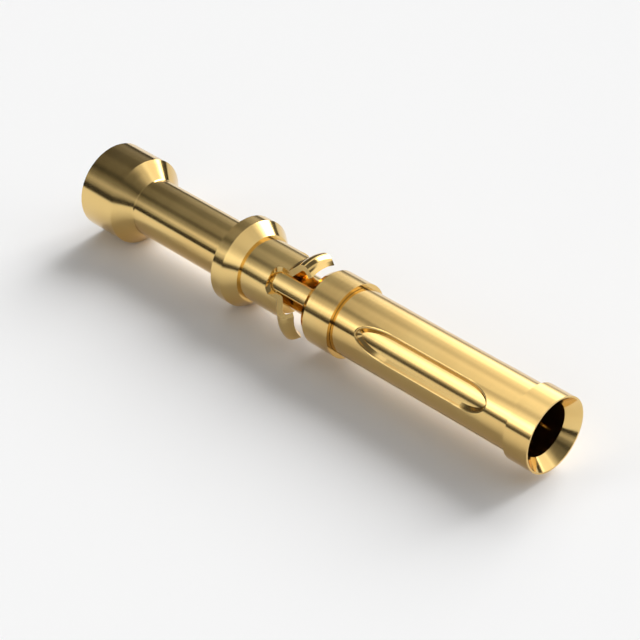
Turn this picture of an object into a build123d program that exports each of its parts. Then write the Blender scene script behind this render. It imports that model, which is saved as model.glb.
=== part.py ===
from build123d import *
import math
import os

# A crimp socket contact, in millimetres and degrees.
# The axis is X: the rear face is at x = 0 and the mouth opens toward +X.
# Clock angles turn about +X from +Y toward +Z, so 90 points up.

# Pin and front bore
PIN_DIA = 2.0
PIN_CLEARANCE = 0.05
BORE_DEPTH = 9.05
MOUTH_LAND = 0.068
COUNTERSINK_DEPTH = 0.45
DRILL_POINT_ANGLE = 118.0

# Front tube, the band behind it and the rim before it
TUBE_WALL = 0.15
TUBE_LENGTH = 8.35
RIM_STEP = 0.153
RIM_LENGTH = 1.06
BAND_STEP = 0.163
BAND_LENGTH = 1.43
BAND_CHAMFER_HEIGHT = 0.12
BAND_CHAMFER_LENGTH = 0.20

# Contact spring sleeve and its dimples
SLEEVE_SHEET = 0.12
SLEEVE_CLEARANCE = 0.01
SLEEVE_END_PLAY = 0.015
SLEEVE_SEAM = 0.04
SLEEVE_SEAM_CLOCK = 209.8
DIMPLE_COUNT = 3
DIMPLE_CLOCK = 149.8
DIMPLE_LENGTH = 6.07
DIMPLE_HALF_WIDTH = 0.46
DIMPLE_REAR_END = 1.50
DIMPLE_FRONT_END = 1.05
DIMPLE_FROM_RIM = 1.15
DIMPLE_DEPTH = 0.23
DIMPLE_SLOPE_WIDTH = 0.12
DIMPLE_SLOPE_HEIGHT = 0.15
DIMPLE_EDGE = 0.07
DIMPLE_WALL = 0.05
WINDOW_CLEARANCE = 0.015

# Neck and seat of the retention clip
NECK_DIA = 1.55
NECK_LENGTH = 1.63
SEAT_DIA = 2.08
SEAT_LENGTH = 1.75

# Key rib between the seat and the band
KEY_CLOCK = 142.0
KEY_HALF_WIDTH = 0.36
KEY_RISE = 0.06
KEY_REACH = 0.33
KEY_CORNER = 0.26
KEY_EDGE = 0.07

# Flange
FLANGE_DIA = 3.52
FLANGE_LAND = 0.49
FLANGE_CHAMFER_LENGTH = 0.51
FLANGE_FACE_STEP = 0.10

# Crimp barrel
CRIMP_BORE_DIA = 1.60
BARREL_WALL = 0.35
BARREL_LENGTH = 5.085
CRIMP_FLOOR = 0.25
INSPECTION_HOLE_DIA = 0.80
INSPECTION_HOLE_SETBACK = 0.60
INSPECTION_HOLE_CLOCK = 245.0

# Rear collar, a cup round the wire's insulation
CUP_DIA = 2.92
COLLAR_WALL = 0.30
COLLAR_LENGTH = 1.755
COLLAR_CONE_ANGLE = 45.0
SHANK_FILLET = 0.08

# Retention clip, rolled from sheet
CLIP_SHEET = 0.22
CLIP_CLEARANCE = 0.01
CLIP_STRAIGHT = 2.00
CLIP_SEAM = 0.30
CLIP_SEAM_CLOCK = 238.0
NOTCH_GAP = 0.06
NOTCH_CORNER = 0.32
NOTCH_BEVEL = 0.16
TINE_CLOCKS = (89.5, 198.0, 322.0)
TINE_HALF_WIDTH = 0.58
TINE_RISE = 1.10
TINE_RISE_ANGLE = 42.0
TINE_LIP = 0.61
TINE_LIP_ANGLE = 57.0
TINE_HEEL_RADIUS = 0.10
TINE_TOP_RADIUS = 0.16

# How far a cutter runs past what it cuts, and how near two equal sizes lie
OVERLAP = 0.2
NEAR = 0.01

# Radii that follow from the sizes above
bore_r = PIN_DIA / 2 + PIN_CLEARANCE
tube_r = bore_r + TUBE_WALL
sleeve_in_r = tube_r + SLEEVE_CLEARANCE
sleeve_r = sleeve_in_r + SLEEVE_SHEET
rim_r = sleeve_r + RIM_STEP
band_r = sleeve_r + BAND_STEP
countersink_r = rim_r - MOUTH_LAND
neck_r = NECK_DIA / 2
seat_r = SEAT_DIA / 2
key_r = seat_r + KEY_RISE
clip_in_r = seat_r + CLIP_CLEARANCE
clip_r = clip_in_r + CLIP_SHEET
flange_r = FLANGE_DIA / 2
flange_face_r = clip_r + FLANGE_FACE_STEP
crimp_r = CRIMP_BORE_DIA / 2
barrel_r = crimp_r + BARREL_WALL
cup_r = CUP_DIA / 2
collar_r = cup_r + COLLAR_WALL
far_r = 2 * max(collar_r, flange_r, band_r)

# Stations along the axis, from the rear face to the mouth
cone_slope = math.tan(math.radians(COLLAR_CONE_ANGLE))
half_cone = math.tan(math.radians(COLLAR_CONE_ANGLE / 2))
cone_end = COLLAR_LENGTH + (collar_r - barrel_r) / cone_slope
cup_end = COLLAR_LENGTH - COLLAR_WALL * half_cone
throat_end = cup_end + (cup_r - crimp_r) / cone_slope
flange_rear = cone_end + BARREL_LENGTH
flange_land_end = flange_rear + FLANGE_LAND
flange_front = flange_land_end + FLANGE_CHAMFER_LENGTH
crimp_end = flange_rear - CRIMP_FLOOR
seat_end = flange_front + SEAT_LENGTH
band_rear = seat_end + NECK_LENGTH
band_front = band_rear + BAND_LENGTH
rim_rear = band_front + TUBE_LENGTH
mouth = rim_rear + RIM_LENGTH
countersink_end = mouth - COUNTERSINK_DEPTH
bore_end = mouth - BORE_DEPTH
key_rear = seat_end - KEY_REACH
notch_root = key_rear - NOTCH_GAP
dimple_front = rim_rear - DIMPLE_FROM_RIM
dimple_rear = dimple_front - DIMPLE_LENGTH


def turned(points):
    """Solid of revolution about X from (x, radius) points."""
    return revolve(Plane.XY * make_face(Polyline(*points, close=True)), Axis.X, 360)


def tube(x0, x1, inner, outer):
    """Straight tube along X."""
    return turned([(x0, inner), (x1, inner), (x1, outer), (x0, outer)])


def tangent_plane(x, clock, height=0.0):
    """Plane whose x runs along the axis and whose normal points out at a clock angle."""
    turn = math.radians(clock)
    out = Vector(0, math.cos(turn), math.sin(turn))
    return Plane(origin=Vector(x, 0, 0) + out * height, x_dir=(1, 0, 0), z_dir=out)


def drill_point(radius):
    """Depth that a drill's point reaches past the full diameter."""
    return radius / math.tan(math.radians(DRILL_POINT_ANGLE / 2))


def body_outside():
    """Outer form of the turned body, without the key."""
    return turned([
        (0, 0),
        (0, collar_r),
        (COLLAR_LENGTH, collar_r),
        (cone_end, barrel_r),
        (flange_rear, barrel_r),
        (flange_rear, flange_r),
        (flange_land_end, flange_r),
        (flange_front, flange_face_r),
        (flange_front, seat_r),
        (seat_end, seat_r),
        (seat_end, neck_r),
        (band_rear, neck_r),
        (band_rear, band_r - BAND_CHAMFER_HEIGHT),
        (band_rear + BAND_CHAMFER_LENGTH, band_r),
        (band_front, band_r),
        (band_front, tube_r),
        (rim_rear, tube_r),
        (rim_rear, rim_r),
        (mouth, rim_r),
        (mouth, 0),
    ])


def front_bore():
    """Blind pin bore with its countersunk mouth."""
    return turned([
        (bore_end - drill_point(bore_r), 0),
        (bore_end, bore_r),
        (countersink_end, bore_r),
        (mouth, countersink_r),
        (mouth, 0),
    ])


def rear_bore():
    """Insulation cup, its throat and the blind crimp bore."""
    return turned([
        (0, 0),
        (0, cup_r),
        (cup_end, cup_r),
        (throat_end, crimp_r),
        (crimp_end, crimp_r),
        (crimp_end + drill_point(crimp_r), 0),
    ])


def inspection_hole():
    """Side hole that shows the wire at the crimp bore's floor."""
    x = crimp_end - INSPECTION_HOLE_SETBACK
    hole = Circle(INSPECTION_HOLE_DIA / 2)
    return extrude(tangent_plane(x, INSPECTION_HOLE_CLOCK) * hole, far_r)


def key_rib():
    """Key rib with a round-cornered rear end, topped by a cylinder about the axis."""
    length = band_rear + OVERLAP - key_rear
    plan = Rectangle(length, 2 * KEY_HALF_WIDTH, align=(Align.MIN, Align.CENTER))
    plan = fillet(plan.vertices().group_by(Axis.X)[0], KEY_CORNER)
    rib = extrude(tangent_plane(key_rear, KEY_CLOCK) * plan, far_r)
    rib &= tube(key_rear, key_rear + length, neck_r - OVERLAP, key_r)
    top = rib.faces().sort_by(lambda f: Vector(0, f.center().Y, f.center().Z).length)[-1]
    edges = top.edges().filter_by(lambda e: e.center().X < key_rear + length - NEAR)
    return fillet(edges, KEY_EDGE)


def dimple_plan(grow):
    """Plan of a dimple: parallel sides and two half ellipses of their own lengths."""
    half = DIMPLE_HALF_WIDTH + grow
    rear = DIMPLE_REAR_END + grow
    front = DIMPLE_FRONT_END + grow
    x0 = dimple_rear + DIMPLE_REAR_END
    x1 = dimple_front - DIMPLE_FRONT_END
    top = Line((x0, half), (x1, half))
    nose = EllipticalCenterArc((x1, 0), front, half, start_angle=-90, arc_size=180)
    low = Line((x1, -half), (x0, -half))
    tail = EllipticalCenterArc((x0, 0), rear, half, start_angle=90, arc_size=180)
    return make_face(Wire([top, nose, low, tail]))


def dimple_block(clock, grow, inner, outer):
    """Dimple plan raised along its clock angle and kept between two radii."""
    block = extrude(tangent_plane(0, clock) * dimple_plan(grow), far_r)
    return block & tube(band_front, rim_rear, inner, outer)


def dimple_clocks():
    """Clock angles of the evenly spaced dimples."""
    return [DIMPLE_CLOCK + 360 * i / DIMPLE_COUNT for i in range(DIMPLE_COUNT)]


def contact_body():
    """Turned body with its bores, key and the windows for the dimples."""
    body = body_outside()
    corner = body.edges().filter_by(GeomType.CIRCLE).filter_by(
        lambda e: abs(e.center().X - cone_end) < NEAR
    )
    body = fillet(corner, SHANK_FILLET)
    body += key_rib()
    body -= front_bore()
    body -= rear_bore()
    body -= inspection_hole()
    grow = DIMPLE_WALL + WINDOW_CLEARANCE
    for clock in dimple_clocks():
        body -= dimple_block(clock, grow, bore_r - OVERLAP, sleeve_r)
    return body


def lowest_face(shape):
    """Face nearest the contact's axis."""
    return shape.faces().sort_by(lambda f: Vector(0, f.center().Y, f.center().Z).length)[0]


def floor_core(clock, radius):
    """Round core that bounds a dimple's floor: the sheet keeps its curve and moves straight in."""
    core = turned([(band_front, 0), (rim_rear, 0), (rim_rear, radius), (band_front, radius)])
    return core.moved(Location(tangent_plane(0, clock).z_dir * -DIMPLE_DEPTH))


def sloped(block):
    """Block with sloping walls round its lowest face."""
    base = lowest_face(block)
    return chamfer(base.edges(), DIMPLE_SLOPE_WIDTH, length2=DIMPLE_SLOPE_HEIGHT, reference=base)


def pressed_dimple(sleeve, clock):
    """Sleeve with one dimple pressed inward."""
    pad = dimple_block(clock, DIMPLE_WALL, bore_r - OVERLAP, sleeve_in_r + SLEEVE_SHEET / 2)
    pad = sloped(pad - floor_core(clock, sleeve_in_r))
    hollow = dimple_block(clock, 0, bore_r - OVERLAP, far_r)
    hollow = sloped(hollow - floor_core(clock, sleeve_r))
    sleeve = sleeve + pad - hollow
    side = tangent_plane(0, clock).z_dir
    rim = sleeve.edges().filter_by(lambda e: on_sleeve_dimple(e, side))
    return fillet(rim, DIMPLE_EDGE)


def on_sleeve_dimple(edge, side):
    """Whether an edge is the outer outline of the dimple on that side."""
    spots = [edge.position_at(t) for t in (0.0, 0.3, 0.5, 0.8, 1.0)]
    reach = sleeve_r * math.cos(math.pi / DIMPLE_COUNT)
    outer = all(abs(Vector(0, p.Y, p.Z).length - sleeve_r) < NEAR for p in spots)
    near = all(Vector(0, p.Y, p.Z).dot(side) > reach for p in spots)
    inside = all(dimple_rear - NEAR < p.X < dimple_front + NEAR for p in spots)
    return outer and near and inside


def contact_spring_sleeve():
    """Rolled sleeve with a seam and inward dimples that press on the pin."""
    x0 = band_front + SLEEVE_END_PLAY
    x1 = rim_rear - SLEEVE_END_PLAY
    sleeve = tube(x0, x1, sleeve_in_r, sleeve_r)
    for clock in dimple_clocks():
        sleeve = pressed_dimple(sleeve, clock)
    seam = Rectangle(x1 - x0, SLEEVE_SEAM, align=(Align.MIN, Align.CENTER))
    return sleeve - extrude(tangent_plane(x0, SLEEVE_SEAM_CLOCK) * seam, far_r)


def clip_profile():
    """Sheet profile of the clip: straight part, rising tine and lip turned inward."""
    rise = math.radians(TINE_RISE_ANGLE)
    lip = math.radians(TINE_LIP_ANGLE)
    heel = Vector(flange_front + CLIP_STRAIGHT, clip_r)
    top = heel + Vector(math.cos(rise), math.sin(rise)) * TINE_RISE
    end = top + Vector(math.cos(lip), -math.sin(lip)) * TINE_LIP
    under_rise = Vector(math.sin(rise), -math.cos(rise))
    under_lip = Vector(-math.sin(lip), -math.cos(lip))
    under_top = (under_rise + under_lip) * (CLIP_SHEET / (1 + under_rise.dot(under_lip)))
    under_heel = Vector(CLIP_SHEET * math.tan(rise / 2), -CLIP_SHEET)
    outline = Polyline(
        (flange_front, clip_r),
        heel,
        top,
        end,
        end + under_lip * CLIP_SHEET,
        top + under_top,
        heel + under_heel,
        (flange_front, clip_in_r),
        close=True,
    )
    face = make_face(outline)
    radii = [
        (heel, TINE_HEEL_RADIUS),
        (heel + under_heel, TINE_HEEL_RADIUS + CLIP_SHEET),
        (top, TINE_TOP_RADIUS + CLIP_SHEET),
        (top + under_top, TINE_TOP_RADIUS),
    ]
    for point, radius in radii:
        face = fillet(face.vertices().sort_by_distance(point)[0], radius)
    return face


def tine_prism(clock):
    """Parallel-sided block that keeps one tine."""
    length = mouth - flange_front
    plan = Rectangle(length, 2 * TINE_HALF_WIDTH, align=(Align.MIN, Align.CENTER))
    return extrude(tangent_plane(flange_front, clock) * plan, far_r)


def between_tines():
    """Slots between the tines, with rounded inner corners and one bevelled."""
    slots = tube(notch_root, mouth, clip_in_r - OVERLAP, far_r)
    for clock in TINE_CLOCKS:
        slots -= tine_prism(clock)
    corners = slots.edges().filter_by(GeomType.LINE).filter_by(
        lambda e: abs(e.center().X - notch_root) < NEAR
    )
    low_side = tangent_plane(notch_root, TINE_CLOCKS[1])
    key_side = tangent_plane(notch_root, KEY_CLOCK)
    near_key = corners.sort_by(lambda e: e.center().dot(key_side.z_dir))[-2:]
    bevelled = near_key.sort_by(lambda e: e.center().dot(low_side.z_dir))[-1]
    rounded = near_key.sort_by(lambda e: e.center().dot(low_side.z_dir))[0]
    slots = chamfer(bevelled, NOTCH_BEVEL)
    corner = slots.edges().sort_by_distance(rounded.center())[0]
    return fillet(corner, NOTCH_CORNER)


def retention_clip():
    """Rolled clip with a seam and flared tines."""
    clip = revolve(Plane.XY * clip_profile(), Axis.X, 360)
    clip -= between_tines()
    seam = Rectangle(mouth, CLIP_SEAM, align=(Align.MIN, Align.CENTER))
    return clip - extrude(tangent_plane(0, CLIP_SEAM_CLOCK) * seam, far_r)


os.makedirs("parts", exist_ok=True)
nodes = {
    "contact_body": contact_body(),
    "retention_clip": retention_clip(),
    "contact_spring_sleeve": contact_spring_sleeve(),
}
for name, shape in nodes.items():
    shape.label = name
    export_step(shape, f"parts/{name}.step")
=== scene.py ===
import math
import bpy
from mathutils import Matrix, Vector


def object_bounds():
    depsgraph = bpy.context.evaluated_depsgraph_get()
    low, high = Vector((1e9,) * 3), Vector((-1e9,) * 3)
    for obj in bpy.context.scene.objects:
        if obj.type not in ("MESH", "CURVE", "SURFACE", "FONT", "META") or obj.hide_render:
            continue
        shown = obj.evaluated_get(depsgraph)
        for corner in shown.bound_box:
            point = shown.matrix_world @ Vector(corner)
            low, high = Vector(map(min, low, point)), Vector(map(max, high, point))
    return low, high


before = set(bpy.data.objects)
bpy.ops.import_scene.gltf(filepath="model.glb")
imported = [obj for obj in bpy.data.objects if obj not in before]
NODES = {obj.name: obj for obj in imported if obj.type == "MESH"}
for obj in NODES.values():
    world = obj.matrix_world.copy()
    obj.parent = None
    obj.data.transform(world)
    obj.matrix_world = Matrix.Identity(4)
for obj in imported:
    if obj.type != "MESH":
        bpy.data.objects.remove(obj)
CAD_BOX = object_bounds()
MM = 0.001

# Gold plating, the same on every piece but for its turning marks
DARK_GOLD = (0.76, 0.515, 0.19)
LIGHT_GOLD = (0.81, 0.575, 0.225)
ROUGHNESS = (0.10, 0.14)
CLOUD_RANGE = (0.3, 0.7)
CLOUD_SCALE = 350.0
CLOUD_DETAIL = 3.0
MARK_SCALE = (60000.0, 300.0, 300.0)
MARK_DETAIL = 1.0
MARK_HEIGHT = 0.002 * MM
TURNED_MARKS = 0.25
CLIP_MARKS = 0.15

# Floor, under the collar and the flange. It fades from pale to grey between two distances. The grey far
# from the part is painted shade, which the gold reflects as a dark band near its lower side.
FLOOR_Z = CAD_BOX[0].z
FLOOR_MIDDLE = 11 * MM
FLOOR_SIZE = 1.2
FADE = (0.045, 0.16)
PALE = 0.90
GREY_PAINTED_SHADE = 0.25
FLOOR_ROUGHNESS = 0.9

# Each light of the studio has a strength, and stops of how bright it is round the axis and along it.
# Round the axis, 0 is +Y, 0.5 is up and 1 is -Y. Along it, 0 is the wire end and 1 the mouth.

# Pale and dark panels round the whole part, brighter toward the mouth
PANELS = (
    4.0,
    [
        (0.00, 0.05), (0.04, 0.16), (0.11, 0.50), (0.21, 0.38), (0.30, 0.22), (0.39, 0.20),
        (0.48, 0.30), (0.57, 0.27), (0.66, 0.12), (0.75, 0.38), (0.84, 0.95), (0.89, 0.60),
        (0.94, 0.05), (1.00, 0.02),
    ],
    [(0.16, 0.09), (0.27, 0.90), (0.29, 0.80), (0.33, 0.14), (1.00, 0.14)],
)

# More panels, for the tube near the mouth
MOUTH_PANELS = (
    1.0,
    [
        (0.00, 0.20), (0.04, 0.60), (0.12, 1.00), (0.21, 1.00), (0.30, 0.60), (0.39, 0.37),
        (0.48, 0.35), (0.57, 0.33), (0.66, 0.42), (0.75, 0.10), (0.86, 0.00), (0.90, 0.60),
        (0.93, 0.60), (0.97, 0.00),
    ],
    [(0.20, 0.0), (0.25, 1.0), (0.28, 1.0), (0.31, 0.0)],
)

# Panel in front of the mouth, for the faces that look forward
FRONT_PANEL = (
    1.0,
    [(0.22, 0.0), (0.32, 0.65), (0.70, 0.65), (0.80, 0.90), (0.91, 0.90), (0.96, 0.0)],
    [(0.66, 0.0), (0.70, 1.0), (0.80, 1.0), (0.85, 0.0)],
)

# Broad soft key light behind the part
KEY_LIGHT = (
    8.8,
    [(0.05, 0.0), (0.11, 1.0), (0.25, 1.0), (0.33, 0.0)],
    [(0.29, 0.0), (0.37, 1.0), (0.58, 1.0), (0.67, 0.12)],
)

# Camera at the photo's isometric angle, with a long lens
CAMERA_AZIMUTH = 45.0
CAMERA_ELEVATION = 35.27
CAMERA_DISTANCE = 81.7 * MM
LENS = 125.7
SENSOR_WIDTH = 36.0
SEEN_FROM = 0.002
SEEN_TO = 5.0

# It looks at a point on the axis, moved left and down in the picture.
LOOK_AT = 11.80 * MM
LOOK_LEFT = 0.249 * MM
LOOK_DOWN = 0.546 * MM


def node(tree, kind, **values):
    """A shader node with its plain attributes set."""
    made = tree.nodes.new(kind)
    for key, value in values.items():
        setattr(made, key, value)
    return made


def ramp(tree, place, stops, interpolation="EASE"):
    """Colour at a place on a ramp of (position, colour or grey level) stops."""
    made = node(tree, "ShaderNodeValToRGB")
    made.color_ramp.interpolation = interpolation
    elements = made.color_ramp.elements
    while len(elements) < len(stops):
        elements.new(0.5)
    for element, (position, value) in zip(elements, stops):
        element.position = position
        colour = value if isinstance(value, tuple) else (value, value, value)
        element.color = (*colour, 1.0)
    tree.links.new(place, made.inputs["Fac"])
    return made.outputs["Color"]


def map_range(tree, value, ends, new_ends=(0.0, 1.0), kind="LINEAR"):
    """Value moved from one range to another."""
    made = node(tree, "ShaderNodeMapRange", interpolation_type=kind)
    for name, end in zip(("From Min", "From Max", "To Min", "To Max"), (*ends, *new_ends)):
        made.inputs[name].default_value = end
    tree.links.new(value, made.inputs["Value"])
    return made.outputs["Result"]


def noise(tree, place, scale, detail):
    """Noise level at a place."""
    made = node(tree, "ShaderNodeTexNoise")
    made.inputs["Scale"].default_value = scale
    made.inputs["Detail"].default_value = detail
    tree.links.new(place, made.inputs["Vector"])
    return made.outputs["Fac"]


def calculate(tree, operation, *values):
    """Result of a math node on node outputs and plain numbers."""
    made = node(tree, "ShaderNodeMath", operation=operation)
    for socket, value in zip(made.inputs, values):
        if isinstance(value, float):
            socket.default_value = value
        else:
            tree.links.new(value, socket)
    return made.outputs["Value"]


def gold(name, marks):
    """Bright plated gold with faint tarnish and fine turning marks round the axis."""
    material = bpy.data.materials.new(name)
    material.use_nodes = True
    tree = material.node_tree
    shader = tree.nodes["Principled BSDF"]
    shader.inputs["Metallic"].default_value = 1.0
    place = node(tree, "ShaderNodeTexCoord").outputs["Object"]

    cloud = noise(tree, place, CLOUD_SCALE, CLOUD_DETAIL)
    tone = ramp(tree, cloud, list(zip(CLOUD_RANGE, (DARK_GOLD, LIGHT_GOLD))))
    tree.links.new(tone, shader.inputs["Base Color"])
    satin = map_range(tree, cloud, CLOUD_RANGE, ROUGHNESS)
    tree.links.new(satin, shader.inputs["Roughness"])

    stretch = node(tree, "ShaderNodeMapping")
    stretch.inputs["Scale"].default_value = MARK_SCALE
    tree.links.new(place, stretch.inputs["Vector"])
    rings = noise(tree, stretch.outputs["Vector"], 1.0, MARK_DETAIL)
    bump = node(tree, "ShaderNodeBump")
    bump.inputs["Strength"].default_value = marks
    bump.inputs["Distance"].default_value = MARK_HEIGHT
    tree.links.new(rings, bump.inputs["Height"])
    tree.links.new(bump.outputs["Normal"], shader.inputs["Normal"])
    return material


def paint(obj, material):
    """The material in every slot of a CAD node."""
    if not obj.data.materials:
        obj.data.materials.append(material)
    for i in range(len(obj.data.materials)):
        obj.data.materials[i] = material


def floor_material():
    """Plain and dull, its colour by the distance from the part: pale near it, painted shade in grey
    farther off.
    """
    material = bpy.data.materials.new("floor_pale_painted_grey_far")
    material.use_nodes = True
    tree = material.node_tree
    shader = tree.nodes["Principled BSDF"]
    shader.inputs["Roughness"].default_value = FLOOR_ROUGHNESS
    shader.inputs["Specular IOR Level"].default_value = 0.0
    place = node(tree, "ShaderNodeTexCoord").outputs["Object"]
    away = node(tree, "ShaderNodeVectorMath", operation="LENGTH")
    tree.links.new(place, away.inputs[0])
    far = map_range(tree, away.outputs["Value"], FADE, kind="SMOOTHSTEP")
    # painted shade: grey away from the part, seen in the gold as a dark reflected band
    shade = ramp(tree, far, [(0.0, PALE), (1.0, GREY_PAINTED_SHADE)], "LINEAR")
    tree.links.new(shade, shader.inputs["Base Color"])
    return material


def studio():
    """World of soft lights, in terms of the turn round the axis and the slant along it."""
    world = bpy.data.worlds.new("studio")
    bpy.context.scene.world = world
    world.use_nodes = True
    tree = world.node_tree
    place = node(tree, "ShaderNodeTexCoord").outputs["Generated"]
    parts = node(tree, "ShaderNodeSeparateXYZ")
    tree.links.new(place, parts.inputs["Vector"])
    clock = calculate(tree, "ARCTAN2", parts.outputs["Z"], parts.outputs["Y"])
    turn = map_range(tree, clock, (0.0, math.pi))
    along = map_range(tree, parts.outputs["X"], (-1.0, 1.0))

    total = 0.0
    for strength, turn_stops, along_stops in (PANELS, MOUTH_PANELS, FRONT_PANEL, KEY_LIGHT):
        light = calculate(tree, "MULTIPLY", ramp(tree, turn, turn_stops), ramp(tree, along, along_stops))
        total = calculate(tree, "MULTIPLY_ADD", light, strength, total)
    backdrop = tree.nodes["Background"]
    backdrop.inputs["Color"].default_value = (1, 1, 1, 1)
    tree.links.new(total, backdrop.inputs["Strength"])


def camera():
    """Camera on the photo's side, looking at a point near the axis."""
    data = bpy.data.cameras.new("camera")
    data.sensor_width = SENSOR_WIDTH
    data.lens = LENS
    data.clip_start = SEEN_FROM
    data.clip_end = SEEN_TO
    made = bpy.data.objects.new("camera", data)
    bpy.context.scene.collection.objects.link(made)
    az, el = math.radians(CAMERA_AZIMUTH), math.radians(CAMERA_ELEVATION)
    back = Vector((math.cos(el) * math.sin(az), -math.cos(el) * math.cos(az), math.sin(el)))
    right = Vector((math.cos(az), math.sin(az), 0))
    up = back.cross(right)
    target = Vector((LOOK_AT, 0, 0)) - right * LOOK_LEFT - up * LOOK_DOWN
    axes = Matrix((right, up, back)).transposed().to_4x4()
    made.matrix_world = Matrix.Translation(target + back * CAMERA_DISTANCE) @ axes
    bpy.context.scene.camera = made


paint(NODES["contact_body"], gold("gold_turned", TURNED_MARKS))
paint(NODES["retention_clip"], gold("gold_clip", CLIP_MARKS))
paint(NODES["contact_spring_sleeve"], gold("gold_sleeve", TURNED_MARKS))

bpy.ops.mesh.primitive_plane_add(size=FLOOR_SIZE, location=(FLOOR_MIDDLE, 0, FLOOR_Z))
floor = bpy.context.object
floor.name = "floor"
floor.data.materials.append(floor_material())

studio()
camera()
bpy.context.scene.view_settings.view_transform = "Standard"
